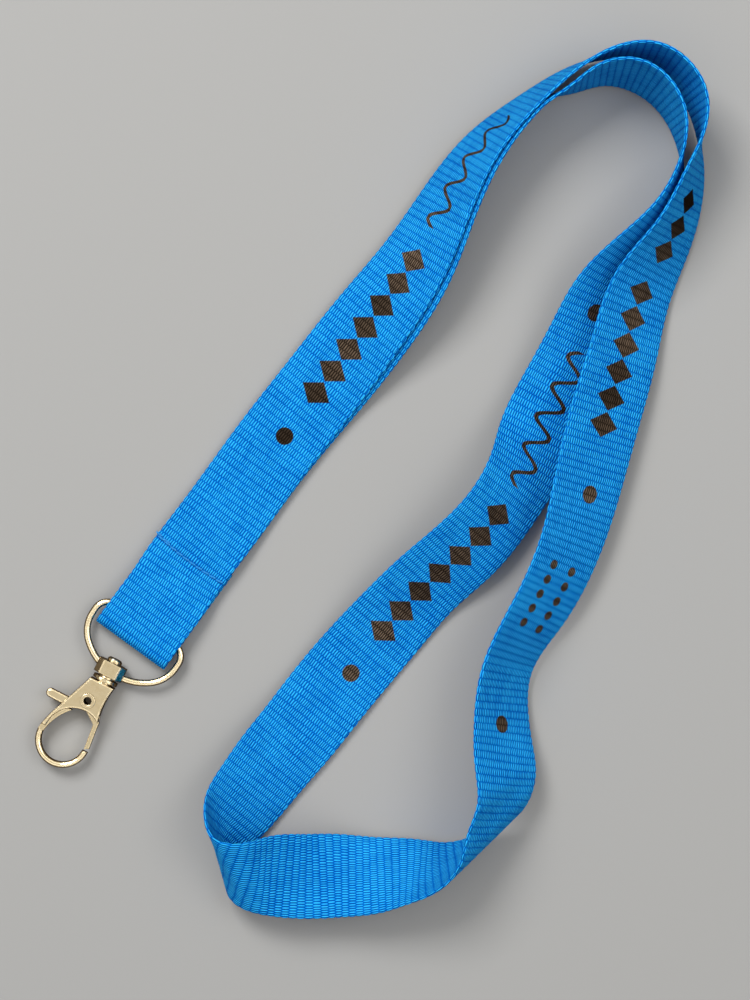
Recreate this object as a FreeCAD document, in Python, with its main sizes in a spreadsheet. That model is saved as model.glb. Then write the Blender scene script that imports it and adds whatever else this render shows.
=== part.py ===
import FreeCAD, Part
import math
import os
import Sketcher
from FreeCAD import Placement, Rotation, Vector

# A lanyard lying flat on a table: one long webbing strap, doubled over and sewn at its lower end round the
# bar of a D-ring, with a swivel trigger hook on the ring.
# Frame: +Z up from the table, origin on the table under the middle of the lanyard, millimetres.

os.makedirs("parts", exist_ok=True)
doc = FreeCAD.newDocument("Lanyard")
sheet = doc.addObject("Spreadsheet::Sheet", "Sizes")

SIZES = [
    # the strap
    ("strap_width", 20.0),
    ("strap_thickness", 0.9),
    ("layer_pitch", "=strap_thickness + 0.25"),   # mid-surfaces apart where the layers lie flat together
    ("nest_pitch", "=strap_thickness + 0.4"),     # the same where the two layers turn together on edge
    ("strap_heading", 54.0),       # direction of the strap where it leaves the ring, in degrees from +X
    ("fold_reach", 4.0),           # from the ring's bar to the axis of the end fold
    ("tail_length", 21.5),         # from the bar to the end of the folded-back tail
    ("inner_start", 3.0),          # from the bar to the sandwiched other end
    ("seam_place", 18.9),          # from the bar to the row of stitches
    ("stitch_pitch", 1.9),
    ("thread_radius", 0.2),
    # the D-ring
    ("collar_radius", 3.1),        # the hook's widest round, on which the metal rests
    ("axis_height", "=collar_radius + 0.05"),     # the metal's common middle plane above the table
    ("bar_x", -54.05),
    ("bar_y", -33.0),
    ("ring_heading", 235.7),       # from the bar to the middle of the bow
    ("ring_wire", 1.6),
    ("ring_play", 1.05),           # webbing to wire at either side
    ("ring_half_width", "=strap_width / 2 + ring_play + ring_wire / 2"),   # to the wire's centre
    ("ring_corner", 3.4),
    ("ring_side", 1.1),            # straight stretch between corner and bow
    ("bow_side_radius", 8.0),
    ("bow_side_angle", 50.0),
    ("bow_radius", "=bow_side_radius + (ring_half_width - bow_side_radius) / cos(bow_side_angle * 1deg)"),
    ("ring_reach", "=ring_corner + ring_side + bow_radius"
                   " - (bow_radius - bow_side_radius) * sin(bow_side_angle * 1deg)"),
    ("bar_clearance", 0.45),       # webbing to bar
    # the boss on the ring and the swivel pin in it
    ("boss_reach", "=ring_reach - 0.5"),          # from the bar to the boss, along the ring
    ("boss_shift", -0.7),          # and across it
    ("boss_length", 3.4),
    ("boss_width", 7.0),
    ("boss_height", 5.6),
    ("boss_chamfer", 1.4),
    ("swivel_heading", 242.8),     # the hook's long axis
    ("pin_radius", 1.1),
    ("pin_play", 0.05),
    ("pin_head_radius", 1.8),
    ("pin_head_length", 1.05),
    ("pin_head_bevel", 0.35),
    ("pin_depth", 2.6),            # how far the pin is pressed into the collar
    # the hook body
    ("head_thickness", 5.0),
    ("collar_gap", 0.1),           # boss face to collar
    ("neck_radius", 2.1),
    ("neck_length", 0.5),
    ("collar_length", 0.8),
    ("groove_length", 0.4),
    ("bead_radius", "=head_thickness / 2 - 0.1"),
    ("bead_length", 0.9),
    ("head_start", 3.6),           # boss middle to where the flat head begins
    ("head_round", 0.4),
    ("tip_width", 1.15),           # of the head's blunt tip on the eye's wire
    ("tip_back", 1.4),             # from the eye's middle back to that tip
    ("eye_u", 20.0),               # middle of the eye from the boss, along the hook
    ("eye_v", -2.4),               # and across it
    ("eye_radius", 5.85),          # wire centre
    ("eye_wire", 1.5),
    ("eye_depth", 2.6),
    # the gate
    ("rivet_u", 8.9),
    ("rivet_v", -1.3),
    ("rivet_radius", 1.2),
    ("rivet_bore", 0.95),
    ("rivet_flange_radius", 1.85),
    ("rivet_flange_height", 0.25),
    ("gate_play", 0.05),
    ("gate_thickness", 1.9),
    ("gate_side_gap", 0.15),
    ("gate_clearance", 0.3),
    ("arm_gap", "=gate_clearance * 1.35"),        # from the arm's tip to the end of the eye's wire
    ("gate_open", 28.0),
    ("hub_radius", 2.6),
    ("tab_u", 11.3),
    ("tab_end_v", -10.1),
    ("tab_width", 2.2),
    ("tab_round", 0.5),
    ("tab_root", 2.0),             # from the hub out to where the tab's rounded edges begin
    ("arm_width", 1.1),
    ("arm_u", 13.1),
    ("arm_v", 2.85),
    ("arm_end_v", 3.55),
    ("spring_wire", 0.35),
    ("spring_radius", 1.75),
    ("spring_turns", 2),
    ("spring_pitch", "=spring_wire * 0.9"),       # the closed turns press into one another
    ("spring_play", 0.15),
    ("spring_leg", 0.8),
    ("spring_ease", 0.02),         # between the spring's wire and what it seats in
]
for row, (alias, value) in enumerate(SIZES, start=1):
    sheet.set(f"A{row}", alias)
    sheet.set(f"B{row}", str(value))
    sheet.setAlias(f"B{row}", alias)
doc.recompute()


def size(alias):
    return float(getattr(sheet, alias))


def polar(angle, length=1.0):
    return Vector(math.cos(math.radians(angle)) * length, math.sin(math.radians(angle)) * length, 0)


UP = Vector(0, 0, 1)
NODES = []


def bind(thing, **expressions):
    for name, expression in expressions.items():
        thing.setExpression(name.replace("__", "."), expression)


def keep(thing, label):
    thing.Label = label
    NODES.append(thing)


# ---- the frames of the ring and of the hook
# The ring's frame has its origin on the middle of the bar, x towards the bow. The hook's frame has its origin
# in the middle of the boss, x along the hook (u), y across it (v).

BAR = Vector(size("bar_x"), size("bar_y"), size("axis_height"))


def bound_placement(thing, x, y, heading, within=""):
    """Binds the whole placement to the sheet: a point in the metal's middle plane and a turn about +Z."""
    thing.setExpression("Placement", f"placement(vector({x}; {y}; Sizes.axis_height);"
                                     f" rotation(vector(0; 0; 1); {heading})){within}")


def put_in_ring_frame(thing):
    bound_placement(thing, "Sizes.bar_x", "Sizes.bar_y", "Sizes.ring_heading")


def put_in_hook_frame(thing, within=""):
    """Within is a further placement in the hook's frame, as an expression."""
    along, across = "Sizes.boss_reach", "Sizes.boss_shift"
    cosine, sine = "cos(Sizes.ring_heading * 1deg)", "sin(Sizes.ring_heading * 1deg)"
    bound_placement(thing, f"Sizes.bar_x + {along} * {cosine} - {across} * {sine}",
                    f"Sizes.bar_y + {along} * {sine} + {across} * {cosine}", "Sizes.swivel_heading", within)


# ---- PartDesign helpers

def new_body(label):
    body = doc.addObject("PartDesign::Body", label.title().replace("_", ""))
    keep(body, label)
    return body


def sketch_on(body, role, offset=None):
    sketch = body.newObject("Sketcher::SketchObject", "Sketch")
    plane = [f for f in body.Origin.OriginFeatures if f.Role == role][0]
    sketch.AttachmentSupport = [(plane, "")]
    sketch.MapMode = "FlatFace"
    if offset:
        sketch.AttachmentOffset = Placement(offset, Rotation())
    return sketch


def close_outline(sketch, curves):
    """Adds the curves and joins each one's end to the next one's start."""
    ids = sketch.addGeometry(curves, False)
    for here, there in zip(ids, ids[1:] + ids[:1]):
        pairs = [(i, j) for i in (1, 2) for j in (1, 2)]
        i, j = min(pairs, key=lambda p: (sketch.getPoint(here, p[0]) - sketch.getPoint(there, p[1])).Length)
        sketch.addConstraint(Sketcher.Constraint("Coincident", here, i, there, j))


def line(a, b):
    return Part.LineSegment(Vector(*a, 0), Vector(*b, 0))


def arc(a, middle, b):
    return Part.Arc(Vector(*a, 0), Vector(*middle, 0), Vector(*b, 0))


def loop_of(points):
    return [line(a, b) for a, b in zip(points, points[1:] + points[:1])]


def turned(point, centre, angle):
    """The point (u, v) turned about the centre."""
    p = Rotation(UP, angle).multVec(Vector(point[0] - centre[0], point[1] - centre[1], 0))
    return (p.x + centre[0], p.y + centre[1])


# ---- the strap's route
# The middle line of the strap as it lies, from the ring round the neck loop and back: x, y, z and the roll
# about its own run in degrees (0 is flat with the printed side up).

LEAD = [
    (-46.0, -21.5, 2.95, 0), (-40.5, -14.0, 2.8, 0), (-34.5, -6.0, 2.0, 0), (-24.0, 8.5, 1.8, 0),
    (-11.5, 24.5, 2.5, -3), (0.0, 39.5, 5.2, -17), (9.5, 52.5, 7.8, -33), (17.0, 66.0, 9.7, -49),
    (25.5, 79.5, 11.0, -62), (37.0, 90.5, 11.0, -74), (50.0, 99.3, 11.0, -84), (58.0, 101.7, 11.0, -91),
    (66.0, 100.8, 11.0, -98), (72.6, 96.0, 11.0, -100), (76.2, 89.6, 11.0, -97), (77.0, 82.3, 11.0, -88),
    (75.9, 74.5, 10.7, -75), (71.0, 60.0, 9.7, -59), (63.5, 46.5, 7.7, -40), (59.0, 31.5, 8.5, -32),
    (54.5, 16.0, 9.5, -29), (50.5, 0.5, 10.5, -33), (46.0, -15.0, 11.5, -40), (39.0, -29.5, 11.0, -46),
    (31.5, -43.5, 9.7, -52), (30.5, -59.0, 11.5, -46), (31.0, -67.0, 14.0, -43), (30.0, -74.5, 14.5, -54),
    (26.0, -80.5, 12.7, -72), (21.5, -85.5, 11.0, -92), (15.0, -89.5, 9.7, -116), (7.5, -91.0, 8.2, -134),
    (-0.5, -92.0, 7.2, -149), (-8.5, -92.0, 7.5, -163), (-15.5, -92.0, 9.0, -176), (-23.0, -91.5, 11.5, -190),
    (-30.5, -90.5, 12.5, -215), (-35.3, -86.0, 10.2, -272), (-33.5, -79.0, 6.7, -322),
    (-28.5, -72.0, 4.7, -338), (-23.5, -65.5, 3.7, -345), (-18.5, -59.5, 2.9, -350),
    (-11.0, -50.0, 2.2, -355), (-3.5, -41.0, 2.5, -351), (4.5, -32.0, 3.9, -342),
    (12.5, -23.5, 5.9, -334), (21.5, -15.5, 8.5, -332),
    (29.5, -6.5, 9.7, -328), (35.5, 3.5, 7.5, -333), (40.0, 13.5, 4.7, -350), (45.5, 24.0, 4.5, -349),
    (51.0, 35.0, 4.9, -342), (56.0, 46.0, 6.4, -326), (63.0, 55.5, 9.0, -307), (69.5, 65.0, 10.7, -292),
    (72.5, 76.5, 11.0, -276), (70.5, 88.0, 11.0, -262), (62.0, 96.0, 11.0, -257), (54.0, 96.5, 11.0, -262),
    (45.8, 92.7, 11.0, -272),
]
TABLE_GAP = 0.05   # under the folded-back tail
LEAD_WIDTH, LEAD_THICKNESS = 20.0, 0.9         # the strap these heights are for
NESTED = 10        # the first stations, which the far end follows back underneath
FLAT = 5           # of those, the ones that lie flat
NEST_SHIFT = (0, 0, 0, 0.2, 0.8, 1.3, 1.1, 0.5, 0.3, 0)   # how far it lies to the right of the layer above
FOLDS = ((28, -10.0, 16.0), (37, 6.0, 12.0))   # station, skew of the crease and reach of the skew, in mm


def natural_spline(knots, values):
    """The natural cubic spline through the values, as a function of the parameter and its derivative."""
    last = len(knots) - 1
    gaps = [knots[i + 1] - knots[i] for i in range(last)]
    slopes = [(values[i + 1] - values[i]) * (1 / gaps[i]) for i in range(last)]
    bends = [Vector() for _ in knots]
    diagonal, right = [1.0] * (last + 1), [Vector() for _ in knots]
    for i in range(1, last):
        diagonal[i] = 2 * (gaps[i - 1] + gaps[i])
        right[i] = (slopes[i] - slopes[i - 1]) * 6
        if i > 1:
            share = gaps[i - 1] / diagonal[i - 1]
            diagonal[i] -= share * gaps[i - 1]
            right[i] -= right[i - 1] * share
    for i in range(last - 1, 0, -1):
        bends[i] = (right[i] - bends[i + 1] * gaps[i]) * (1 / diagonal[i])

    def at(t):
        i = max(0, min(last - 1, sum(1 for k in knots[1:-1] if k <= t)))
        gap, a, b = gaps[i], t - knots[i], knots[i + 1] - t
        near = (values[i] * (1 / gap) - bends[i] * (gap / 6))
        far = (values[i + 1] * (1 / gap) - bends[i + 1] * (gap / 6))
        point = (bends[i] * b**3 + bends[i + 1] * a**3) * (1 / (6 * gap)) + near * b + far * a
        slope = (bends[i + 1] * a**2 - bends[i] * b**2) * (1 / (2 * gap)) + far - near
        return point, slope
    return at


def chord_knots(points):
    knots = [0.0]
    for a, b in zip(points, points[1:]):
        knots.append(knots[-1] + (b - a).Length)
    return knots


def rolled(run, roll):
    """Across the strap, and out of its printed side, for a run direction and a roll."""
    across = UP.cross(run).normalize()
    over = run.cross(across)
    turn = math.radians(roll)
    return across * math.cos(turn) + over * math.sin(turn), over * math.cos(turn) - across * math.sin(turn)


def strap_route():
    """Stations of the whole strap: the middle points, the vectors across it, and where LEAD starts."""
    run = polar(size("strap_heading"))
    side = UP.cross(run)
    bar = Vector(BAR.x, BAR.y, 0)
    axis = size("axis_height")
    rise = size("ring_wire") / 2 + size("bar_clearance") + size("strap_thickness") / 2
    low = size("strap_thickness") / 2 + TABLE_GAP
    tail = size("tail_length")
    points, across = [], []

    def add(point, vector):
        points.append(point)
        across.append(vector)

    for away, height in ((tail, low), (tail * 0.62, low + 0.1), (tail * 0.3, low + 0.55), (0, axis - rise)):
        add(bar + run * away + UP * height, side)
    for angle in (-90, -135, 180, 135, 90):
        swing = math.radians(angle)
        around = run * (math.cos(swing) * rise - size("fold_reach")) + UP * (axis + math.sin(swing) * rise)
        add(bar + around, side)
    lead = [bar + UP * (axis + rise), bar + run * 5 + UP * (axis + rise - 0.6),
            bar + run * 9.5 + UP * (axis + rise - 1.2)]
    rolls = [0, 0, 0]
    wider, thicker = size("strap_width") - LEAD_WIDTH, size("strap_thickness") - LEAD_THICKNESS
    for x, y, z, roll in LEAD:
        lift = wider / 2 * abs(math.sin(math.radians(roll))) + thicker * 1.5
        lead.append(Vector(x, y, z + lift))
        rolls.append(roll)
    at = natural_spline(chord_knots(lead), lead)
    frames = [rolled(at(k)[1].normalize(), roll) for k, roll in zip(chord_knots(lead), rolls)]
    for point, (vector, _) in zip(lead, frames):
        add(point, vector)
    first = len(points) - len(LEAD)
    for i in reversed(range(NESTED)):
        pitch = size("layer_pitch") if i < FLAT else size("nest_pitch")
        vector, printed = frames[i + 3]
        add(lead[i + 3] - printed * pitch - vector * NEST_SHIFT[i], vector * -1)
    inner = size("inner_start")
    add(bar + run * (inner + 6) + UP * 2.1, side * -1)
    add(bar + run * inner + UP * (axis - 0.15), side * -1)
    return points, across, first


def strap_rails(edge_points):
    """For each ruling across the strap, its two edge points and the normals there."""
    points, across, first = strap_route()
    knots = chord_knots(points)
    middle, breadth = natural_spline(knots, points), natural_spline(knots, across)
    half = size("strap_width") / 2

    def edge(t, sign):
        t = max(0.0, min(knots[-1], t))
        point, run = middle(t)
        run.normalize()
        vector = breadth(t)[0]
        vector = (vector - run * vector.dot(run)).normalize()
        return point + vector * (half * sign), run.cross(vector)

    rulings = []
    for t in edge_points(knots):
        skew = sum(h * math.exp(-((t - knots[first + k]) / reach)**2) for k, h, reach in FOLDS)
        rulings.append((*edge(t + skew, 1), *edge(t - skew, -1)))
    return rulings


def webbing_strap():
    """One smooth loft through the strap's cross-sections, from the tail's cut end to the inner one."""
    def between_stations(knots):
        return sorted(set(knots) | {(a + b) / 2 for a, b in zip(knots, knots[1:])})

    half = size("strap_thickness") / 2
    sections = []
    for p, p_out, q, q_out in strap_rails(between_stations):
        rim = [p + p_out * half, q + q_out * half, q - q_out * half, p - p_out * half]
        sections.append(Part.makePolygon(rim + rim[:1]))
    return Part.makeLoft(sections, True, False)


strap = doc.addObject("Part::Feature", "Strap")
strap.Shape = webbing_strap()
keep(strap, "webbing_strap")


# ---- the seam
# A row of stitches across the strap, each a short thread bar sunk by half into the strap's upper face, with
# the last ones at the selvages.

SEAM_STEP, SEAM_STEPS = 1 / 9000, 700   # the seam's place is looked for in these small steps along the strap


def seam_stitching():
    run = polar(size("strap_heading"))
    side = UP.cross(run)
    rulings = strap_rails(lambda knots: [knots[-1] * i * SEAM_STEP for i in range(SEAM_STEPS)])
    wanted = Vector(BAR.x, BAR.y, 0) + run * size("seam_place")
    over = [(p + q) * 0.5 for p, _, q, _ in rulings]
    upper = [c for c in over if c.z > size("strap_thickness") * 2]
    seat = min(upper, key=lambda c: (Vector(c.x, c.y, 0) - wanted).Length)
    top = seat + UP * (size("strap_thickness") / 2)
    count = int((size("strap_width") - 1) // size("stitch_pitch"))
    radius = size("thread_radius")
    stitches = []
    for i in range(count):
        middle = top + side * ((i - (count - 1) / 2) * size("stitch_pitch"))
        length = size("stitch_pitch") * 0.8
        start = middle - side * (length / 2)
        bar = Part.makeCylinder(radius, length, start, side)
        ends = [Part.makeSphere(radius, p) for p in (start, start + side * length)]
        stitches.append(bar.fuse(ends))
    return Part.Compound(stitches)


seam = doc.addObject("Part::Feature", "Seam")
seam.Shape = seam_stitching()
keep(seam, "seam_stitching")


# ---- the D-ring

def ring_path():
    """Centre line of the wire: bar, corners, short sides and a bow of three arcs, flattest in the middle."""
    wide, corner = size("ring_half_width"), size("ring_corner")
    hip = corner + size("ring_side")
    small, swing = size("bow_side_radius"), size("bow_side_angle")
    centre = (hip, wide - small)

    def on_side_arc(angle):
        turn = math.radians(angle)
        return (centre[0] + small * math.sin(turn), centre[1] + small * math.cos(turn))

    join, halfway = on_side_arc(swing), on_side_arc(swing / 2)
    crown = (size("ring_reach"), 0)
    soft = corner * (1 - math.sqrt(0.5))

    def other(point):
        return (point[0], -point[1])

    elbow = (soft, wide - soft)
    return [
        line((0, corner - wide), (0, wide - corner)),
        arc((0, wide - corner), elbow, (corner, wide)),
        line((corner, wide), (hip, wide)),
        arc((hip, wide), halfway, join),
        arc(join, crown, other(join)),
        arc(other(join), other(halfway), (hip, -wide)),
        line((hip, -wide), (corner, -wide)),
        arc((corner, -wide), other(elbow), (0, corner - wide)),
    ]


ring = new_body("d_ring")
put_in_ring_frame(ring)
path = sketch_on(ring, "XY_Plane")
close_outline(path, ring_path())
wire = sketch_on(ring, "XZ_Plane")
wire.addGeometry(Part.Circle(Vector(0, 0, 0), UP, size("ring_wire") / 2), False)
wire.addConstraint(Sketcher.Constraint("Coincident", 0, 3, -1, 1))
wire.addConstraint(Sketcher.Constraint("Diameter", 0, size("ring_wire")))
wire.setExpression("Constraints[1]", "Sizes.ring_wire")
pipe = ring.newObject("PartDesign::AdditivePipe", "Wire")
pipe.Profile = wire
pipe.Spine = (path, [f"Edge{i + 1}" for i in range(8)])

doc.recompute()


def bound_pad(body, sketch, label, length, cut=False):
    """A pad or pocket that runs the same way to both sides of its sketch, as long as the expression says."""
    kind = "PartDesign::Pocket" if cut else "PartDesign::Pad"
    feature = body.newObject(kind, label)
    feature.Profile = sketch
    feature.Midplane = True
    bind(feature, Length=length)
    before = 0 if body.Shape.isNull() else body.Shape.Volume
    doc.recompute()
    changed = body.Shape.Volume - before
    if (changed < 0) != cut:
        raise ValueError(f"{label} changed the volume by {changed}")
    return feature


def bound_turn(body, sketch, label, axis, angle, backwards=False):
    feature = body.newObject("PartDesign::Revolution", label)
    feature.Profile = sketch
    feature.Reversed = backwards
    feature.ReferenceAxis = (sketch, [axis])
    bind(feature, Angle=angle)
    doc.recompute()
    return feature


def rounded(body, label, radius, wanted):
    """Rounds those edges of the body so far that the test picks."""
    before = body.Tip
    names = [f"Edge{i + 1}" for i, edge in enumerate(before.Shape.Edges) if wanted(edge)]
    feature = body.newObject("PartDesign::Fillet", label)
    feature.Base = (before, names)
    bind(feature, Radius=radius)
    doc.recompute()


def on_face(height):
    """Picks the edges that lie at this height above or below the middle plane."""
    return lambda edge: abs(abs(edge.BoundBox.ZMin) - height) < 1e-4 and edge.BoundBox.ZLength < 1e-4


def circle_sketch(body, role, radius, offset=None, turn=None):
    """A circle round the sketch's origin; radius is an expression on the sheet."""
    sketch = sketch_on(body, role, offset)
    if turn:
        sketch.AttachmentOffset = Placement(offset, turn)
    sketch.addGeometry(Part.Circle(Vector(0, 0, 0), UP, 1.0), False)
    sketch.addConstraint(Sketcher.Constraint("Coincident", 0, 3, -1, 1))
    sketch.addConstraint(Sketcher.Constraint("Radius", 0, 1.0))
    sketch.setExpression("Constraints[1]", radius)
    return sketch


def outline_sketch(body, role, curves, offset=None, turn=None):
    sketch = sketch_on(body, role, offset)
    if turn:
        sketch.AttachmentOffset = Placement(offset, turn)
    close_outline(sketch, curves)
    return sketch


# The boss stands across the wire and faces along the hook. Its flanks are chamfered all round.
boss_seat = Vector(size("boss_shift"), 0, size("boss_reach"))
boss_turn = Rotation(Vector(0, 1, 0), size("swivel_heading") - size("ring_heading"))


def boss_outline():
    wide, high, cut = size("boss_width") / 2, size("boss_height") / 2, size("boss_chamfer")
    return loop_of([(wide - cut, -high), (wide, cut - high), (wide, high - cut), (wide - cut, high),
                    (cut - wide, high), (-wide, high - cut), (-wide, cut - high), (cut - wide, -high)])


bound_pad(ring, outline_sketch(ring, "YZ_Plane", boss_outline(), boss_seat, boss_turn), "Boss",
          "Sizes.boss_length")
bound_pad(ring, circle_sketch(ring, "YZ_Plane", "Sizes.pin_radius + Sizes.pin_play", boss_seat, boss_turn),
          "PinHole", "Sizes.boss_length * 3", cut=True)


# ---- the swivel pin: a peened head inside the ring and a shank pressed into the collar

def pin_outline():
    face = -size("boss_length") / 2 - size("pin_play")
    head = face - size("pin_head_length")
    tip = size("boss_length") / 2 + size("collar_gap") + size("pin_depth")
    wide, shank = size("pin_head_radius"), size("pin_radius")
    edge = size("pin_head_bevel")
    return loop_of([(tip, 0), (tip, shank), (face, shank), (face, wide),
                    (head + edge, wide), (head, wide - edge), (head, 0)])


pin = new_body("swivel_pin")
put_in_hook_frame(pin)
bound_turn(pin, outline_sketch(pin, "XY_Plane", pin_outline()), "Pin", "H_Axis", "360")


# ---- the hook body

def collar_outline():
    """Half of the turned collar: neck, disc, groove and bead, in front of the flat head."""
    steps = [("neck_radius", "neck_length"), ("collar_radius", "collar_length"),
             ("neck_radius", "groove_length"), ("bead_radius", "bead_length")]
    u = size("boss_length") / 2 + size("collar_gap")
    points = [(u, 0)]
    for radius, length in steps:
        points.append((u, size(radius)))
        u += size(length)
        points.append((u, size(radius)))
    return loop_of(points + [(u, 0)])


EYE_OUTSIDE = size("eye_v") - size("eye_radius") - size("eye_wire") / 2
SHOULDER, SHOULDER_BOW, HORN = (12.8, -6.85), (16.3, -8.15), (size("eye_u"), EYE_OUTSIDE)
SHOULDER_ARC = arc(SHOULDER, SHOULDER_BOW, HORN)


def on_shoulder(u):
    """The point of the shoulder's arc at this place along the hook."""
    circle = SHOULDER_ARC.toShape().Curve
    centre, radius = circle.Center, circle.Radius
    return (u, centre.y - math.sqrt(radius**2 - (u - centre.x)**2))


def head_outline():
    """The flat head: straight left side, shoulder, blunt tip on the wire, throat, waisted right side."""
    start, throat, heel = size("head_start"), (11.6, -2.5), (12.7, 3.2)
    tip = on_shoulder(size("eye_u") - size("tip_back"))
    inner_tip = (tip[0], tip[1] + size("tip_width"))
    return [line((start, -3.3), SHOULDER), arc(SHOULDER, SHOULDER_BOW, tip), line(tip, inner_tip),
            arc(inner_tip, (14.7, -6.6), throat), arc(throat, (11.4, 0.4), heel),
            arc(heel, (8.2, 2.5), (start, 2.95)), line((start, 2.95), (start, -3.3))]


def lip_outline():
    """The lower lip inside the head, as high as the wire, which carries the wire's end into the head."""
    inside, root = (size("eye_u"), EYE_OUTSIDE + size("eye_wire")), (12.6, -3.7)
    return [line(HORN, inside), arc(inside, (15.9, -6.15), root), line(root, SHOULDER), SHOULDER_ARC]


def eye_section():
    """The wire's section: higher than wide, with round edges, at its radius from the eye's middle."""
    middle, half = size("eye_radius"), size("eye_wire") / 2
    straight = size("eye_depth") / 2 - half
    left, right = middle - half, middle + half
    return [line((left, straight), (left, -straight)),
            arc((left, -straight), (middle, -straight - half), (right, -straight)),
            line((right, -straight), (right, straight)),
            arc((right, straight), (middle, straight + half), (left, straight))]


# Where the gate lever's outline has corners: the tab on the left and the arm on the right of the hub.
RIVET = (size("rivet_u"), size("rivet_v"))
TAB_NEAR = size("tab_u") - size("tab_width") / 2
TAB_FAR = size("tab_u") + size("tab_width") / 2


def tab_outline():
    end = size("tab_end_v")
    corners = [(TAB_NEAR, end), (TAB_NEAR, -5.0), (7.4, -3.4), RIVET, (11.2, -2.5), (TAB_FAR, -6.2),
               (TAB_FAR, end)]
    tip = (size("tab_u"), end - size("tab_width") / 2)
    return [line(a, b) for a, b in zip(corners, corners[1:])] + [arc(corners[-1], tip, corners[0])]


def arm_outline():
    half = size("arm_width") / 2
    reach = size("eye_u") - size("arm_gap")
    u, v, end = size("arm_u"), size("arm_v"), size("arm_end_v")
    return loop_of([(9.6, 1.1), (u - half, v + half), (reach - half, end + half), (reach, end - half),
                    (u + half * 0.6, v - half), (11.2, -0.8), RIVET])


def tab_room():
    """What the tab sweeps between the closed and the open gate, with clearance."""
    gap, swing, beyond = size("gate_clearance"), -size("gate_open"), size("tab_end_v") - 3
    return loop_of([(TAB_FAR + gap, beyond), (TAB_FAR + gap, -6.0), (11.6, -2.4), RIVET,
                    turned((7.1, -3.5), RIVET, swing), turned((TAB_NEAR - gap, -5.1), RIVET, swing),
                    turned((TAB_NEAR - gap, beyond), RIVET, swing)])


def arm_room():
    gap, half = size("gate_clearance"), size("arm_width") / 2
    u, v = size("arm_u"), size("arm_v")
    return loop_of([RIVET, (9.2, 1.1 + gap * 1.5), (u - half - gap, v + half + gap),
                    (u + 3, v + half + gap * 2), (u + 3, -3.0), (11.8, -3.0)])


hook = new_body("hook_body")
put_in_hook_frame(hook)
SLOT = "Sizes.gate_thickness + 2 * Sizes.gate_side_gap"
rivet_seat = Vector(size("rivet_u"), size("rivet_v"), 0)
bound_pad(hook, outline_sketch(hook, "XY_Plane", head_outline()), "Head", "Sizes.head_thickness")
rounded(hook, "HeadEdges", "Sizes.head_round", on_face(size("head_thickness") / 2))
bound_turn(hook, outline_sketch(hook, "XY_Plane", collar_outline()), "Collar", "H_Axis", "360")
eye_seat = Vector(size("eye_v"), 0, size("eye_u"))
bound_turn(hook, outline_sketch(hook, "YZ_Plane", eye_section(), eye_seat), "Eye", "V_Axis",
           "180", backwards=True)
bound_pad(hook, outline_sketch(hook, "XY_Plane", lip_outline()), "Lip", "Sizes.eye_depth")
bound_pad(hook, circle_sketch(hook, "XY_Plane", "Sizes.hub_radius + Sizes.gate_clearance", rivet_seat),
          "HubRoom", SLOT, cut=True)
bound_pad(hook, outline_sketch(hook, "XY_Plane", tab_room()), "TabRoom", SLOT, cut=True)
bound_pad(hook, outline_sketch(hook, "XY_Plane", arm_room()), "ArmRoom", SLOT, cut=True)
bound_pad(hook, circle_sketch(hook, "XY_Plane", "Sizes.rivet_radius", rivet_seat), "RivetHole",
          "Sizes.head_thickness * 2", cut=True)
back = rivet_seat - UP * (size("head_thickness") / 2)
bound_pad(hook, circle_sketch(hook, "XY_Plane", "Sizes.rivet_flange_radius", back), "RivetSink",
          "Sizes.rivet_flange_height * 2", cut=True)


def bore_outline():
    start = size("boss_length") / 2 + size("collar_gap")
    end, radius = start + size("pin_depth"), size("pin_radius")
    return loop_of([(start - 1, 0), (start - 1, radius), (end, radius), (end, 0)])


bore = hook.newObject("PartDesign::Groove", "PinBore")
bore.Profile = outline_sketch(hook, "XY_Plane", bore_outline())
bore.ReferenceAxis = (bore.Profile[0], ["H_Axis"])
bore.Angle = 360


# ---- the gate lever

gate = new_body("gate_lever")
put_in_hook_frame(gate)
bound_pad(gate, circle_sketch(gate, "XY_Plane", "Sizes.hub_radius", rivet_seat), "Hub",
          "Sizes.gate_thickness")
bound_pad(gate, outline_sketch(gate, "XY_Plane", tab_outline()), "Tab", "Sizes.gate_thickness")
bound_pad(gate, outline_sketch(gate, "XY_Plane", arm_outline()), "Arm", "Sizes.gate_thickness")
TAB_ROUNDED = size("rivet_v") - size("hub_radius") - size("tab_root")
rounded(gate, "TabEdges", "Sizes.tab_round",
        lambda edge: on_face(size("gate_thickness") / 2)(edge) and edge.BoundBox.YMax < TAB_ROUNDED)
bound_pad(gate, circle_sketch(gate, "XY_Plane", "Sizes.rivet_radius + Sizes.gate_play", rivet_seat),
          "RivetHole", "Sizes.gate_thickness * 2", cut=True)
SPRING_HEIGHT = size("spring_wire") + (size("spring_turns") - 1) * size("spring_pitch")
UNDERSIDE = -size("gate_thickness") / 2
recess_depth = SPRING_HEIGHT + size("spring_play") - size("gate_side_gap")
recess_seat = rivet_seat + UP * (UNDERSIDE + recess_depth / 2)
RECESS = "Sizes.spring_radius + Sizes.spring_wire / 2 + Sizes.spring_play"
bound_pad(gate, circle_sketch(gate, "XY_Plane", RECESS, recess_seat), "SpringRecess", str(recess_depth),
          cut=True)


# ---- the tubular rivet

def rivet_outline():
    """Half of the rivet: its upper flange stands on the head and its lower one is sunk flush in the back."""
    face = size("head_thickness") / 2
    top = face + size("rivet_flange_height")
    bore_wall, shank, flange = size("rivet_bore"), size("rivet_radius"), size("rivet_flange_radius")
    sunk = size("rivet_flange_height") - face
    return loop_of([(bore_wall, -face), (flange, -face), (flange, sunk), (shank, sunk), (shank, face),
                    (flange, face), (flange, top), (bore_wall, top)])


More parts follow.
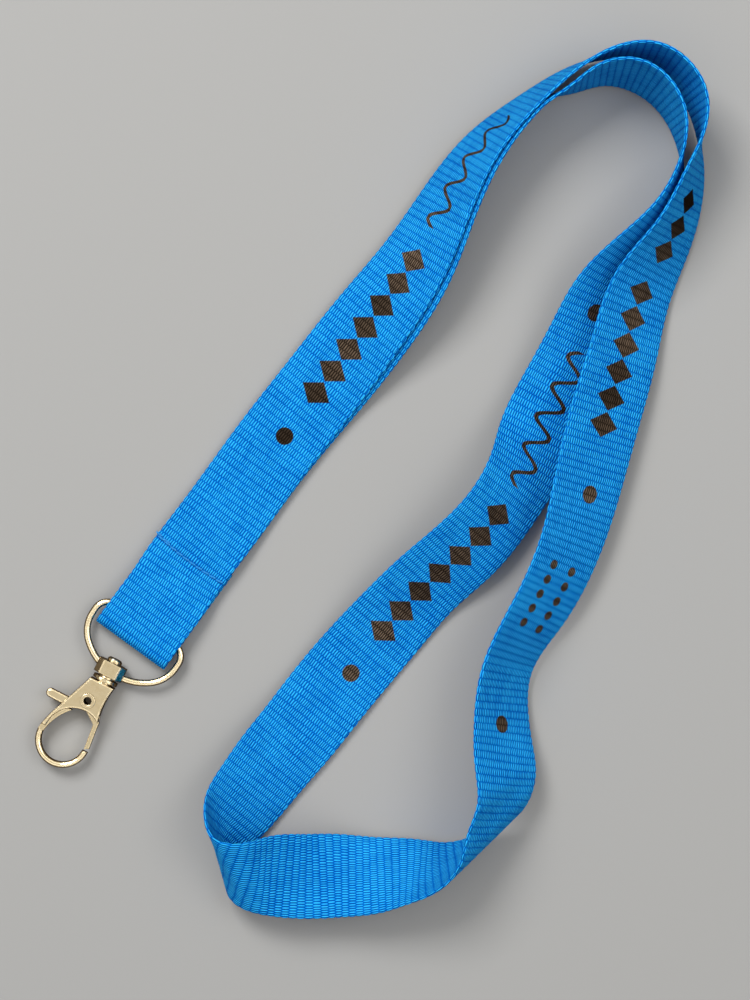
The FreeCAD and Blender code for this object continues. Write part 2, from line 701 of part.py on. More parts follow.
rivet = new_body("gate_rivet")
put_in_hook_frame(rivet)
rivet_plane = Vector(size("rivet_u"), 0, -size("rivet_v"))
bound_turn(rivet, outline_sketch(rivet, "XZ_Plane", rivet_outline(), rivet_plane), "Rivet", "V_Axis", "360")


# ---- the gate spring: a coil round the rivet with one leg in the lower cheek

def gate_spring():
    wire_radius, coil = size("spring_wire") / 2, size("spring_radius")
    turns = [Part.makeTorus(coil, wire_radius, UP * (i * size("spring_pitch")))
             for i in range(int(size("spring_turns")))]
    leg = Part.makeCylinder(wire_radius, size("spring_leg"), Vector(coil, 0, -size("spring_leg")), UP)
    return turns[0].fuse(turns[1:] + [leg])


spring = doc.addObject("Part::Feature", "Spring")
spring.Shape = gate_spring()
SPRING_FLOOR = "-Sizes.gate_thickness / 2 - Sizes.gate_side_gap + Sizes.spring_wire / 2 + Sizes.spring_ease"
put_in_hook_frame(spring, f" * placement(vector(Sizes.rivet_u; Sizes.rivet_v; {SPRING_FLOOR});"
                          " rotation(vector(0; 0; 1); 0))")
keep(spring, "gate_spring")
leg_seat = Vector(size("rivet_u") + size("spring_radius"), size("rivet_v"),
                  UNDERSIDE - size("gate_side_gap") - size("spring_leg") / 2)
bound_pad(hook, circle_sketch(hook, "XY_Plane", "Sizes.spring_wire / 2 + Sizes.spring_ease",
                               leg_seat), "LegHole",
          "Sizes.spring_leg + 0.1", cut=True)


# ---- checks and files

doc.recompute()
failed = [thing.Label for thing in doc.Objects if {"Invalid", "Error"} & set(thing.State)]
failed += [node.Label for node in NODES if node.Shape.isNull() or not node.Shape.isValid()]
if failed:
    raise ValueError(f"these did not build: {failed}")
for node in NODES:
    shape = node.Shape
    print(node.Label, len(shape.Solids), "solids", round(shape.Volume, 2), "mm3", shape.BoundBox)
    shape.exportStep(f"parts/{node.Label}.step")
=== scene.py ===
import math
import bpy
import numpy as np
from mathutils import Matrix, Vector


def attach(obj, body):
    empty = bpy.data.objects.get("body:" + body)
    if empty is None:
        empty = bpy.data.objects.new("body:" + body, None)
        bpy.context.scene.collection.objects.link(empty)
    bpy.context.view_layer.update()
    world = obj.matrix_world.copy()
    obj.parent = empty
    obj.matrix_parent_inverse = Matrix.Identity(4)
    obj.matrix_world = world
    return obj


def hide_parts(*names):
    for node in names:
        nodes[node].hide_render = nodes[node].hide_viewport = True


# A webbing lanyard with a D-ring and a swivel trigger hook, lying on a pale table and seen from above.

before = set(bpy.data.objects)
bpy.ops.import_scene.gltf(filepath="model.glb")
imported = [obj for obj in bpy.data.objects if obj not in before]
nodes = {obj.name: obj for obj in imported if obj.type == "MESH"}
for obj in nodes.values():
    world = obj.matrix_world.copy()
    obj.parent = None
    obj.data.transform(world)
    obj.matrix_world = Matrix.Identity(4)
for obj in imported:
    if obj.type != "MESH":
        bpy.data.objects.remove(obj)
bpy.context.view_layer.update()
MM = 0.001


# ---- camera, floor and light -----------------------------------------------------------------------------

def look_at(thing, target):
    thing.rotation_euler = (Vector(target) - thing.location).to_track_quat("-Z", "Y").to_euler()


camera_data = bpy.data.cameras.new("Camera")
camera_data.lens, camera_data.sensor_width = 105.8, 36.0
camera_data.clip_start = 0.01
camera = bpy.data.objects.new("Camera", camera_data)
camera.location = (0.5 * MM, -3.5 * MM, 0.7)
bpy.context.collection.objects.link(camera)
bpy.context.scene.camera = camera


def soft_lamp(name, location, side, power):
    data = bpy.data.lights.new(name, "AREA")
    data.shape, data.size = "SQUARE", side
    data.energy = power
    lamp = bpy.data.objects.new(name, data)
    lamp.location = location
    look_at(lamp, (0, 0, 0))
    bpy.context.collection.objects.link(lamp)


soft_lamp("Key", (-0.40, 0.62, 0.95), 0.5, 11.0)
soft_lamp("Fill", (0.7, 0.1, 1.1), 0.6, 3.0)

world = bpy.data.worlds.new("World")
bpy.context.scene.world = world
world.use_nodes = True
sky = world.node_tree
height = sky.nodes.new("ShaderNodeSeparateXYZ")
sky.links.new(sky.nodes.new("ShaderNodeTexCoord").outputs["Generated"], height.inputs[0])
rays = sky.nodes.new("ShaderNodeLightPath")


def sky_ramp(*stops):
    """Levels over the height in the sky, from the lowest stop to the highest."""
    node = sky.nodes.new("ShaderNodeValToRGB")
    elements = node.color_ramp.elements
    for element, (place, _) in ((elements[0], stops[0]), (elements[1], stops[-1])):
        element.position = place
    for place, _ in stops[1:-1]:
        elements.new(place)
    for element, (_, colour) in zip(elements, stops):
        element.color = (*colour, 1)
    sky.links.new(height.outputs[2], node.inputs["Fac"])
    return node.outputs[0]


def sky_mix(ray, others, seen):
    node = sky.nodes.new("ShaderNodeMix")
    node.data_type = "RGBA"
    sky.links.new(rays.outputs[ray], node.inputs[0])
    sky.links.new(others, node.inputs[6])
    if isinstance(seen, bpy.types.NodeSocket):
        sky.links.new(seen, node.inputs[7])
    else:
        node.inputs[7].default_value = seen
    return node.outputs[2]


dome = sky_ramp((0.30, (0.05, 0.04, 0.03)), (0.90, (0.88, 0.88, 0.88)))
# What the metal reflects: soft boxes all round, with a dimmer ceiling and a dark horizon.
boxes = sky_ramp((0.05, (0.42, 0.40, 0.36)), (0.30, (0.22, 0.19, 0.15)), (0.50, (0.07, 0.05, 0.03)),
                 (0.64, (2.1, 2.1, 2.1)), (0.80, (1.7, 1.7, 1.7)), (0.92, (0.68, 0.66, 0.63)),
                 (1.0, (0.64, 0.62, 0.59)))
seen = sky_mix("Is Camera Ray", sky_mix("Is Glossy Ray", dome, boxes), (0.40, 0.397, 0.387, 1))
sky.links.new(seen, sky.nodes["Background"].inputs["Color"])
sky.nodes["Background"].inputs["Strength"].default_value = 1.15
bpy.context.scene.view_settings.view_transform = "Standard"


# ---- shader helpers --------------------------------------------------------------------------------------

class Shader:
    """A node material with short names for the nodes that it is made of."""

    def __init__(self, name):
        self.material = bpy.data.materials.new(name)
        self.material.use_nodes = True
        self.tree = self.material.node_tree
        self.bsdf = self.tree.nodes["Principled BSDF"]

    def node(self, kind, inputs=(), **settings):
        node = self.tree.nodes.new(kind)
        for key, value in settings.items():
            setattr(node, key, value)
        for key, value in dict(inputs).items():
            self.feed(node.inputs[key], value)
        return node

    def feed(self, socket, value):
        if isinstance(value, bpy.types.NodeSocket):
            self.tree.links.new(value, socket)
        else:
            socket.default_value = value

    def math(self, operation, *values, clamp=False):
        node = self.node("ShaderNodeMath", operation=operation, use_clamp=clamp)
        for socket, value in zip(node.inputs, values):
            self.feed(socket, value)
        return node.outputs[0]

    def add(self, a, b):
        return self.math("ADD", a, b)

    def times(self, a, b):
        return self.math("MULTIPLY", a, b)

    def below(self, value, limit, soft):
        """1 where the value is under the limit and 0 over it, with a soft step between them."""
        step = self.node("ShaderNodeMapRange", interpolation_type="SMOOTHSTEP",
                         inputs={"From Min": limit - soft, "From Max": limit + soft, "To Min": 1.0,
                                 "To Max": 0.0})
        self.feed(step.inputs["Value"], value)
        return step.outputs[0]

    def mix(self, share, a, b):
        node = self.node("ShaderNodeMix", data_type="RGBA")
        for key, value in ((0, share), (6, a), (7, b)):
            self.feed(node.inputs[key], value)
        return node.outputs[2]

    def noise(self, vector, scale, detail=2.0, roughness=0.5):
        return self.node("ShaderNodeTexNoise", inputs={"Vector": vector, "Scale": scale, "Detail": detail,
                                                       "Roughness": roughness}).outputs["Fac"]

    def vector(self, x=0.0, y=0.0, z=0.0):
        return self.node("ShaderNodeCombineXYZ", inputs={"X": x, "Y": y, "Z": z}).outputs[0]

    def bump(self, height, strength, distance, normal=None):
        node = self.node("ShaderNodeBump", inputs={"Height": height, "Strength": strength,
                                                   "Distance": distance})
        if normal:
            self.feed(node.inputs["Normal"], normal)
        return node.outputs[0]

    def surface(self, **inputs):
        for key, value in inputs.items():
            self.feed(self.bsdf.inputs[key.replace("_", " ")], value)
        return self.material


# ---- floor -----------------------------------------------------------------------------------------------

floor_mesh = bpy.data.meshes.new("Floor")
floor_mesh.from_pydata([(-4, -4, 0), (4, -4, 0), (4, 4, 0), (-4, 4, 0)], [], [(0, 1, 2, 3)])
floor = bpy.data.objects.new("Floor", floor_mesh)
bpy.context.collection.objects.link(floor)
paper = Shader("Table")
mirrored = paper.node("ShaderNodeLightPath").outputs["Is Glossy Ray"]   # the metal sees a darker table
# Painted reflection: glossy rays see the table dark brown, which darkens what the metal reflects of it.
table_colour = paper.mix(mirrored, (0.335, 0.332, 0.323, 1), (0.06, 0.042, 0.025, 1))
floor_mesh.materials.append(paper.surface(Base_Color=table_colour, Roughness=0.6, Specular_IOR_Level=0.2))


# ---- the strap's route -----------------------------------------------------------------------------------
# The same stations as the CAD strap has, in millimetres: x, y, z and roll in degrees.

LEAD = [
    (-46.0, -21.5, 2.95, 0), (-40.5, -14.0, 2.8, 0), (-34.5, -6.0, 2.0, 0), (-24.0, 8.5, 1.8, 0),
    (-11.5, 24.5, 2.5, -3), (0.0, 39.5, 5.2, -17), (9.5, 52.5, 7.8, -33), (17.0, 66.0, 9.7, -49),
    (25.5, 79.5, 11.0, -62), (37.0, 90.5, 11.0, -74), (50.0, 99.3, 11.0, -84), (58.0, 101.7, 11.0, -91),
    (66.0, 100.8, 11.0, -98), (72.6, 96.0, 11.0, -100), (76.2, 89.6, 11.0, -97), (77.0, 82.3, 11.0, -88),
    (75.9, 74.5, 10.7, -75), (71.0, 60.0, 9.7, -59), (63.5, 46.5, 7.7, -40), (59.0, 31.5, 8.5, -32),
    (54.5, 16.0, 9.5, -29), (50.5, 0.5, 10.5, -33), (46.0, -15.0, 11.5, -40), (39.0, -29.5, 11.0, -46),
    (31.5, -43.5, 9.7, -52), (30.5, -59.0, 11.5, -46), (31.0, -67.0, 14.0, -43), (30.0, -74.5, 14.5, -54),
    (26.0, -80.5, 12.7, -72), (21.5, -85.5, 11.0, -92), (15.0, -89.5, 9.7, -116), (7.5, -91.0, 8.2, -134),
    (-0.5, -92.0, 7.2, -149), (-8.5, -92.0, 7.5, -163), (-15.5, -92.0, 9.0, -176),
    (-23.0, -91.5, 11.5, -190), (-30.5, -90.5, 12.5, -215), (-35.3, -86.0, 10.2, -272),
    (-33.5, -79.0, 6.7, -322), (-28.5, -72.0, 4.7, -338), (-23.5, -65.5, 3.7, -345),
    (-18.5, -59.5, 2.9, -350), (-11.0, -50.0, 2.2, -355), (-3.5, -41.0, 2.5, -351), (4.5, -32.0, 3.9, -342),
    (12.5, -23.5, 5.9, -334), (21.5, -15.5, 8.5, -332), (29.5, -6.5, 9.7, -328), (35.5, 3.5, 7.5, -333),
    (40.0, 13.5, 4.7, -350), (45.5, 24.0, 4.5, -349), (51.0, 35.0, 4.9, -342), (56.0, 46.0, 6.4, -326),
    (63.0, 55.5, 9.0, -307), (69.5, 65.0, 10.7, -292), (72.5, 76.5, 11.0, -276), (70.5, 88.0, 11.0, -262),
    (62.0, 96.0, 11.0, -257), (54.0, 96.5, 11.0, -262), (45.8, 92.7, 11.0, -272),
]
NESTED, FLAT = 10, 5                   # LEAD's stations with the strap's end under them, and the flat ones
NEST_SHIFT = (0, 0, 0, 0.2, 0.8, 1.3, 1.1, 0.5, 0.3, 0)   # how far the end lies to the side under each
FOLDS = ((28, -10.0, 16.0), (37, 6.0, 12.0))              # station, skew of the ruling there, its reach
WIDTH, THICKNESS = 20.0, 0.9
LAYER_PITCH, NEST_PITCH = THICKNESS + 0.25, THICKNESS + 0.4
BAR, AXIS_HEIGHT = np.array((-54.05, -33.0, 0.0)), 3.15
HEADING = math.radians(54.0)
FOLD_RISE, FOLD_REACH = 1.7, 4.0       # from the bar's axis to the strap's middle, and to the fold's axis
TAIL, INNER = 21.5, 3.0                # from the bar to the folded-back tail's end, and to the inner end
UP = np.array((0.0, 0.0, 1.0))
RUN = np.array((math.cos(HEADING), math.sin(HEADING), 0.0))
SIDE = np.cross(UP, RUN)


def unit(v):
    return v / np.linalg.norm(v, axis=-1, keepdims=True)


def natural_spline(knots, values):
    """The natural cubic spline through the values: its points and slopes at any parameters."""
    count, gaps = len(knots), np.diff(knots)
    system, right = np.eye(count), np.zeros((count, 3))
    slopes = np.diff(values, axis=0) / gaps[:, None]
    for i in range(1, count - 1):
        system[i, i - 1:i + 2] = gaps[i - 1], 2 * (gaps[i - 1] + gaps[i]), gaps[i]
        right[i] = 6 * (slopes[i] - slopes[i - 1])
    bends = np.linalg.solve(system, right)

    def at(t):
        t = np.clip(np.asarray(t, float), knots[0], knots[-1])
        i = np.clip(np.searchsorted(knots, t, side="right") - 1, 0, count - 2)
        gap = gaps[i][..., None]
        a, b = (t - knots[i])[..., None], (knots[i + 1] - t)[..., None]
        near = values[i] / gap - bends[i] * gap / 6
        far = values[i + 1] / gap - bends[i + 1] * gap / 6
        point = (bends[i] * b**3 + bends[i + 1] * a**3) / (6 * gap) + near * b + far * a
        return point, (bends[i + 1] * a**2 - bends[i] * b**2) / (2 * gap) + far - near
    return at


def chord_knots(points):
    return np.concatenate([[0.0], np.cumsum(np.linalg.norm(np.diff(points, axis=0), axis=1))])


def strap_route():
    """The stations' middle points, the vectors across the strap there, and where LEAD starts."""
    low = THICKNESS / 2 + 0.05
    route = [(BAR + RUN * away + UP * z, SIDE) for away, z in
             ((TAIL, low), (TAIL * 0.62, low + 0.1), (TAIL * 0.3, low + 0.55), (0, AXIS_HEIGHT - FOLD_RISE))]
    for angle in np.radians((-90, -135, 180, 135, 90)):
        around = RUN * (math.cos(angle) * FOLD_RISE - FOLD_REACH)
        route.append((BAR + around + UP * (AXIS_HEIGHT + math.sin(angle) * FOLD_RISE), SIDE))
    top = AXIS_HEIGHT + FOLD_RISE
    lead = [BAR + UP * top, BAR + RUN * 5 + UP * (top - 0.6), BAR + RUN * 9.5 + UP * (top - 1.2)]
    rolls = np.radians([0, 0, 0] + [station[3] for station in LEAD])
    lead = np.array(lead + [np.array(station[:3]) for station in LEAD])
    knots = chord_knots(lead)
    run = unit(natural_spline(knots, lead)(knots)[1])
    across = unit(np.cross(UP, run))
    over = np.cross(run, across)
    sine, cosine = np.sin(rolls)[:, None], np.cos(rolls)[:, None]
    vectors, printed = across * cosine + over * sine, over * cosine - across * sine
    route += list(zip(lead, vectors))
    first = len(route) - len(LEAD)
    for i in reversed(range(NESTED)):
        pitch = LAYER_PITCH if i < FLAT else NEST_PITCH
        place = lead[i + 3] - printed[i + 3] * pitch - vectors[i + 3] * NEST_SHIFT[i]
        route.append((place, -vectors[i + 3]))
    route.append((BAR + RUN * (INNER + 6) + UP * 2.1, -SIDE))
    route.append((BAR + RUN * INNER + UP * (AXIS_HEIGHT - 0.15), -SIDE))
    return np.array([p for p, _ in route]), np.array([v for _, v in route]), first


POINTS, ACROSS, FIRST = strap_route()
KNOTS = chord_knots(POINTS)
middle_of, breadth_of = natural_spline(KNOTS, POINTS), natural_spline(KNOTS, ACROSS)
LENGTH = KNOTS[-1]


def edge(t, sign):
    """The strap's left (+1) or right (-1) edge, and the way out of its printed side there."""
    t = np.clip(t, 0, LENGTH)
    point, run = middle_of(t)
    run = unit(run)
    vector = breadth_of(t)[0]
    vector = unit(vector - run * np.sum(vector * run, axis=-1, keepdims=True))
    return point + vector * (WIDTH / 2 * sign), np.cross(run, vector)


def skew(t):
    """How far the ruling at this place runs ahead at one edge and behind at the other."""
    return sum(h * np.exp(-((t - KNOTS[FIRST + k]) / reach)**2) for k, h, reach in FOLDS)


def on_strap(along, x, inset=0.0):
    """Points of the strap's middle surface and the way out of its printed side, at places in the cloth:
    along is the distance from the tail's end, and x is across, positive to the left."""
    share = (WIDTH / 2 - x) / WIDTH
    steps = np.linspace(0, LENGTH, 9000)
    t = np.interp(along, steps + (1 - 2 * share) * skew(steps), steps)
    left, left_out = edge(t + skew(t), 1)
    right, right_out = edge(t - skew(t), -1)
    share = (share + inset / WIDTH * np.ones_like(along))[:, None]
    return left * (1 - share) + right * share, unit(left_out * (1 - share) + right_out * share)


# ---- the webbing -----------------------------------------------------------------------------------------

RIB = 1.72                # pitch of the cross ribs
BODY, HUMP = 0.37, 0.055  # half the thickness between the ribs, and the ribs' rise
COLUMNS = 12              # across one face
ROWS_PER_RIB = 6
SELVAGE = 0.42            # width of the rounded edge
PINCH = 0.16              # how far the edge draws in between the ribs
THREAD = 0.605            # pitch of the warp threads across the strap
OFF_CLOTH = -20.0
SEAM_AT = 18.9            # from the bar to the stitches
SEAM_BOW = 0.6            # how far their row bows towards the ring in the middle of the strap
DENT, DENT_REACH = 0.16, 0.5           # how deep they pull the cloth in, and how far from the row


def seam_along():
    """Where the stitches' row is, in the cloth of the upper layer."""
    along = np.linspace(TAIL + 8, TAIL + 60, 2000)
    points, _ = on_strap(along, 0.0)
    away = (points - BAR) @ RUN
    return float(np.interp(SEAM_AT, away, along))


SEAM_ALONG = seam_along()


def seam_bow(x):
    return -SEAM_BOW * (1 - (x / 10)**2)


def rib_profile(along):
    return np.abs(np.sin(np.pi * along / RIB))**0.75


def strap_mesh():
    rows = np.arange(0, LENGTH - RIB / ROWS_PER_RIB, RIB / ROWS_PER_RIB)
    profile = rib_profile(rows)
    flat_half = WIDTH / 2 - SELVAGE
    ring = [(x, 1.0) for x in np.linspace(-flat_half, flat_half, COLUMNS)]
    edge_angles = np.radians((60, 25, -25, -60))
    ring += [(flat_half + SELVAGE * math.cos(a), math.sin(a)) for a in edge_angles]
    ring += [(-x, -1.0) for x in np.linspace(-flat_half, flat_half, COLUMNS)]
    ring += [(-(flat_half + SELVAGE * math.cos(a)), -math.sin(a)) for a in edge_angles]
    verts = np.zeros((len(rows), len(ring), 3))
    for j, (x, height) in enumerate(ring):
        outer = abs(x) > flat_half
        dent = DENT * np.exp(-((rows - SEAM_ALONG - seam_bow(x)) / DENT_REACH)**2)
        rise = BODY + HUMP * profile - dent
        points, out = on_strap(rows, x, math.copysign(PINCH, x) * (1 - profile) if outer else 0.0)
        verts[:, j] = points + out * (rise * height)[:, None]
    count = len(ring)
    index = np.arange(len(rows) * count).reshape(len(rows), count)
    after = np.roll(index, -1, axis=1)
    quads = np.stack([index[:-1], after[:-1], after[1:], index[1:]], axis=-1).reshape(-1, 4)
    faces = [tuple(q) for q in quads[:, ::-1].tolist()]
    faces += [tuple(index[0].tolist()), tuple(index[-1][::-1].tolist())]
    mesh = bpy.data.meshes.new("Strap")
    mesh.from_pydata((verts.reshape(-1, 3) * MM).tolist(), [], faces)
    # The cloth's own coordinates in millimetres: along, and round the section from the printed face.
    around = np.array([math.hypot(b[0] - a[0], (b[1] - a[1]) * BODY)
                       for a, b in zip(ring, ring[1:] + ring[:1])])
    start = np.concatenate([[0.0], np.cumsum(around)]) - flat_half
    weave = mesh.uv_layers.new(name="Weave")
    bake = mesh.uv_layers.new(name="OFBake")
    s0 = np.repeat(rows[:-1, None], count, axis=1)
    s1 = np.repeat(rows[1:, None], count, axis=1)
    v0 = np.repeat(start[None, :-1], len(rows) - 1, axis=0)
    v1 = np.repeat(start[None, 1:], len(rows) - 1, axis=0)
    corners = np.stack([np.stack([s1, v0], -1), np.stack([s1, v1], -1), np.stack([s0, v1], -1),
                        np.stack([s0, v0], -1)], axis=2).reshape(-1, 2)
    total = count * 2     # corners of the two end faces, which lie off the printed cloth
    uv = np.concatenate([corners, np.full((total, 2), OFF_CLOTH)])
    weave.data.foreach_set("uv", uv.ravel().astype(np.float32))
    # For baking, the cloth is cut into strips that are stacked in the unit square.
    strips = 5
    strip_length = LENGTH / strips
    girth = start[-1] - start[0]
    strip_of = np.clip(np.floor((corners[:, 0].reshape(-1, 4).mean(axis=1)) / strip_length), 0, strips - 1)
    strip_of = np.repeat(strip_of, 4)
    u = 0.01 + 0.98 * (corners[:, 0] - strip_of * strip_length) / (strip_length + RIB)
    v = (strip_of + 0.02 + 0.96 * (corners[:, 1] - start[0]) / girth) / strips
    packed = np.concatenate([np.stack([u, v], -1), np.full((total, 2), 0.999)])
    bake.data.foreach_set("uv", packed.ravel().astype(np.float32))
    mesh.polygons.foreach_set("use_smooth", [True] * len(faces))
    mesh.validate()
    return mesh


webbing = Shader("Webbing")
uv = webbing.node("ShaderNodeUVMap", uv_map="Weave").outputs[0]
split = webbing.node("ShaderNodeSeparateXYZ", inputs={"Vector": uv})
S, X = split.outputs[0], split.outputs[1]
rib_place = webbing.times(S, 1 / RIB)
rib_number = webbing.math("FLOOR", rib_place)
hump = webbing.math("SINE", webbing.times(webbing.math("FRACT", rib_place), math.pi))
drift = webbing.noise(webbing.vector(webbing.times(S, 0.06), webbing.times(X, 0.15)), 1.0)
thread_place = webbing.add(webbing.times(X, 1 / THREAD), webbing.times(drift, 2.0))
thread_place = webbing.add(thread_place, webbing.times(webbing.math("FLOORED_MODULO", rib_number, 2.0), 0.5))
thread_number = webbing.math("FLOOR", webbing.add(thread_place, 0.5))
strand = webbing.math("COSINE", webbing.times(thread_place, 2 * math.pi))
strand = webbing.math("MULTIPLY_ADD", strand, 0.5, 0.5)
# The dashes' lightness is partly the weave's pattern and partly painted sheen on the raised floats, with
# painted shade in the rib valleys and between the threads.
dash = webbing.times(webbing.math("POWER", hump, 0.4), webbing.math("POWER", strand, 1.1))
each = webbing.node("ShaderNodeTexWhiteNoise", noise_dimensions="2D",
                    inputs={"Vector": webbing.vector(rib_number, thread_number)}).outputs["Value"]
band = webbing.noise(webbing.vector(webbing.times(S, 0.35), webbing.times(X, 0.02)), 1.0, 3.0, 0.6)
cloud = webbing.noise(webbing.vector(webbing.times(S, 0.12), webbing.times(X, 0.12)), 1.0, 3.0)
light = webbing.add(dash, webbing.times(webbing.times(each, dash), 0.5))
light = webbing.add(light, webbing.times(webbing.add(band, -0.5), 0.5))
light = webbing.add(light, webbing.times(webbing.add(cloud, -0.5), 0.4))
# Painted shade: the cloth is darker along the furrow that the stitches pull in.
seam_line = webbing.math("MULTIPLY_ADD", webbing.times(X, X), SEAM_BOW / 100, SEAM_ALONG - SEAM_BOW)
furrow = webbing.math("ABSOLUTE", webbing.math("SUBTRACT", S, seam_line))
light = webbing.add(light, webbing.times(webbing.below(furrow, 0.55, 0.35), -0.4))
# The ramp's bright end, with its touch of red, is partly painted sheen; its dark end is partly painted shade.
cloth = webbing.node("ShaderNodeValToRGB", inputs={"Fac": light})
ramp = cloth.color_ramp
ramp.elements[0].position, ramp.elements[0].color = 0.0, (0.0, 0.075, 0.38, 1)
ramp.elements[1].position, ramp.elements[1].color = 1.0, (0.03, 0.49, 0.94, 1)
middle = ramp.elements.new(0.5)
middle.color = (0.0, 0.222, 0.73, 1)


# The print is plain dots, rows of diamonds, waving lines and small dots, on the printed face only.

def between(value, low, high):
    inside = webbing.math("GREATER_THAN", value, low)
    return webbing.times(inside, webbing.math("LESS_THAN", value, high))


def round_dot(along, x, radius):
    dx, dy = webbing.add(S, -along), webbing.add(X, -x)
    far = webbing.math("SQRT", webbing.add(webbing.times(dx, dx), webbing.times(dy, dy)))
    return webbing.below(far, radius, 0.12)


def diamonds(first, last, pitch, half_length, half_width):
    cell = webbing.math("FRACT", webbing.times(webbing.add(S, -first), 1 / pitch))
    along = webbing.math("ABSOLUTE", webbing.times(webbing.add(cell, -0.5), pitch / half_length))
    across = webbing.math("ABSOLUTE", webbing.times(X, 1 / half_width))
    return webbing.times(webbing.below(webbing.add(along, across), 1.0, 0.05), between(S, first, last))


def wave(first, last, length, swing, half_width):
    phase = webbing.times(webbing.add(S, -first), 2 * math.pi / length)
    off = webbing.math("ABSOLUTE", webbing.add(X, webbing.times(webbing.math("SINE", phase), -swing)))
    slope = webbing.math("ABSOLUTE", webbing.math("COSINE", phase))
    wide = webbing.math("MULTIPLY_ADD", slope, half_width * 0.9, half_width)
    return webbing.times(webbing.below(webbing.math("DIVIDE", off, wide), 1.0, 0.15), between(S, first, last))


def small_dots(first, last, pitch, x, radius):
    cell = webbing.math("FRACT", webbing.times(webbing.add(S, -first), 1 / pitch))
    dx, dy = webbing.times(webbing.add(cell, -0.5), pitch), webbing.add(X, -x)
    far = webbing.math("SQRT", webbing.add(webbing.times(dx, dx), webbing.times(dy, dy)))
    return webbing.times(webbing.below(far, radius, 0.12), between(S, first, last))


marks = [round_dot(along, x, 2.1) for along, x in
         ((90.5, -0.5), (333.5, 1.0), (392.0, -0.5), (539.5, -1.0), (645.0, 1.0))]
marks += [diamonds(first, last, 6.5, 3.1, 4.0) for first, last in
          ((100.0, 145.5), (549.0, 594.5), (257.0, 276.5), (281.0, 320.0))]
marks += [wave(first, last, 8.0, 2.6, 0.5) for first, last in ((151.0, 183.0), (599.0, 635.0))]
marks += [small_dots(350.0, 369.0, 3.8, x, 1.15) for x in (-3.2, 3.2)]
ink = marks[0]
for mark in marks[1:]:
    ink = webbing.math("MAXIMUM", ink, mark)
ink = webbing.times(ink, webbing.math("LESS_THAN", webbing.math("ABSOLUTE", X), 9.9))
# Painted sheen on the ink: taupe in long patches along the strap and on the weave's bright floats, near black
# elsewhere.
painted_ink_sheen = webbing.noise(webbing.vector(webbing.times(S, 0.025), 0.0), 1.0, 1.0)
painted_ink_sheen = webbing.times(webbing.math("MULTIPLY_ADD", painted_ink_sheen, 3.0, -1.0, clamp=True), light)
inked = webbing.mix(painted_ink_sheen, (0.007, 0.004, 0.002, 1), (0.20, 0.14, 0.095, 1))
webbing.surface(Base_Color=webbing.mix(ink, cloth.outputs[0], inked), Roughness=0.7, Specular_IOR_Level=0.03,
                Normal=webbing.bump(dash, 1.0, 0.2 * MM))

strap = bpy.data.objects.new("Webbing_strap", strap_mesh())
bpy.context.collection.objects.link(strap)
strap.data.materials.append(webbing.material)
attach(strap, "strap")
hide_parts("webbing_strap")


# ---- the stitches ----------------------------------------------------------------------------------------

STITCH, HOLE = 1.9, 0.12  # from hole to hole, and from a hole's middle to the stitch's end
ROW = 10                  # stitches in the row, before the two that run back over its end
BACK, BESIDE = (6.2, 8.6), 0.35        # where those two start, and how far they lie from the row
SUNK, ARCH = 0.18, 0.36   # how deep a stitch's ends lie, and how far it rises between them


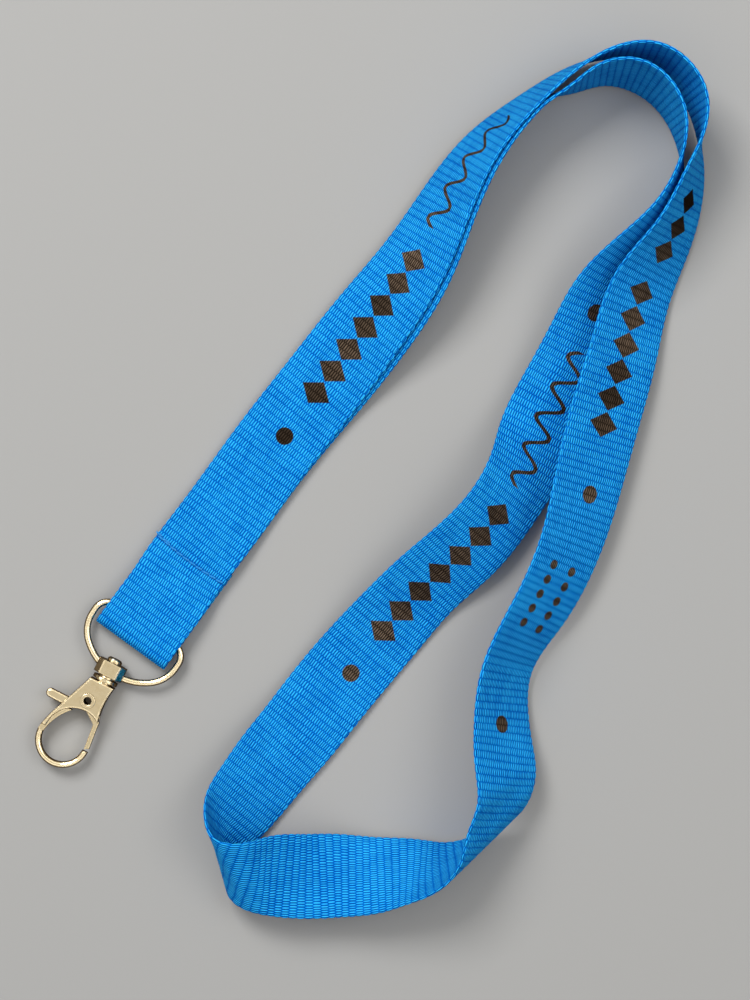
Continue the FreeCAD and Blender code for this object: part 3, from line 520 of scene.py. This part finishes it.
def seam_mesh():
    """A row of two-ply stitches, each an arch of two twisted strands from hole to hole."""
    verts, faces = [], []
    sides, steps, strand_radius, twist = 8, 22, 0.17, 0.95
    starts = [-STITCH * ROW / 2 + STITCH * i for i in range(ROW)] + list(BACK)
    for number, start in enumerate(starts):
        beside = BESIDE if number >= ROW else 0.0
        share = np.linspace(0, 1, steps)
        x = start + HOLE + (STITCH - 2 * HOLE) * share
        along = SEAM_ALONG + seam_bow(x) + beside
        placed = [on_strap(np.array([a]), float(b)) for a, b in zip(along, x)]
        base = np.array([p[0][0] for p in placed])
        out = np.array([p[1][0] for p in placed])
        lift = BODY - SUNK + ARCH * np.sin(np.pi * share)**0.5
        line = base + out * lift[:, None]
        run = unit(np.gradient(line, axis=0))
        side = unit(np.cross(out, run))
        upward = np.cross(run, side)
        for ply in (0.0, math.pi):
            turn = 2 * math.pi * x / twist + ply
            around = side * np.cos(turn)[:, None] + upward * np.sin(turn)[:, None]
            centre = line + around * strand_radius * 0.8
            first = len(verts)
            for k in range(steps):
                narrow = 0.55 + 0.45 * math.sin(math.pi * share[k])**0.4
                for m in range(sides):
                    a = 2 * math.pi * m / sides
                    verts.append((centre[k] + (side[k] * math.cos(a) + upward[k] * math.sin(a))
                                  * strand_radius * narrow) * MM)
            for k in range(steps - 1):
                for m in range(sides):
                    a, b = first + k * sides + m, first + k * sides + (m + 1) % sides
                    faces.append((a, b, b + sides, a + sides))
            faces.append(tuple(first + m for m in reversed(range(sides))))
            faces.append(tuple(first + (steps - 1) * sides + m for m in range(sides)))
    mesh = bpy.data.meshes.new("Seam")
    mesh.from_pydata([tuple(v) for v in verts], [], faces)
    mesh.polygons.foreach_set("use_smooth", [True] * len(faces))
    return mesh


thread = Shader("Thread")
place = thread.node("ShaderNodeTexCoord").outputs["Object"]
fibre = thread.noise(place, 6000.0, 3.0, 0.6)
thread.surface(Base_Color=thread.mix(fibre, (0.0, 0.13, 0.45, 1), (0.02, 0.38, 0.85, 1)), Roughness=0.5,
               Normal=thread.bump(fibre, 0.5, 0.05 * MM))
seam = bpy.data.objects.new("Seam_stitches", seam_mesh())
bpy.context.collection.objects.link(seam)
seam.data.materials.append(thread.material)
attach(seam, "strap")
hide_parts("seam_stitching")


# ---- metal -----------------------------------------------------------------------------------------------

nickel = Shader("Nickel")
spot = nickel.node("ShaderNodeTexCoord").outputs["Object"]
wear = nickel.noise(spot, 900.0, 4.0, 0.6)
soft_edge = nickel.node("ShaderNodeBevel", samples=4, inputs={"Radius": 0.5 * MM}).outputs[0]
# Painted reflection: the base colour turns dark brown where the surface is edge-on to the view, for the dark
# rims the metal reflects.
painted_dark_rim = nickel.node("ShaderNodeLayerWeight", inputs={"Blend": 0.5, "Normal": soft_edge}).outputs["Facing"]
painted_dark_rim = nickel.times(nickel.math("POWER", painted_dark_rim, 1.6), 0.9)
champagne = nickel.mix(wear, (0.74, 0.59, 0.34, 1), (0.87, 0.75, 0.51, 1))
nickel.surface(Base_Color=nickel.mix(painted_dark_rim, champagne, (0.15, 0.085, 0.03, 1)), Metallic=1.0,
               Roughness=nickel.math("MULTIPLY_ADD", wear, 0.08, 0.08),
               Normal=nickel.bump(nickel.noise(spot, 350.0, 2.0), 0.3, 0.4 * MM, soft_edge))
steel = Shader("Spring_steel")
steel.surface(Base_Color=(0.5, 0.5, 0.5, 1), Metallic=1.0, Roughness=0.3)


def repaint(node, material):
    for slot in nodes[node].material_slots:
        slot.material = material


for name in ("d_ring", "swivel_pin", "hook_body", "gate_lever", "gate_rivet"):
    repaint(name, nickel.material)
repaint("gate_spring", steel.material)
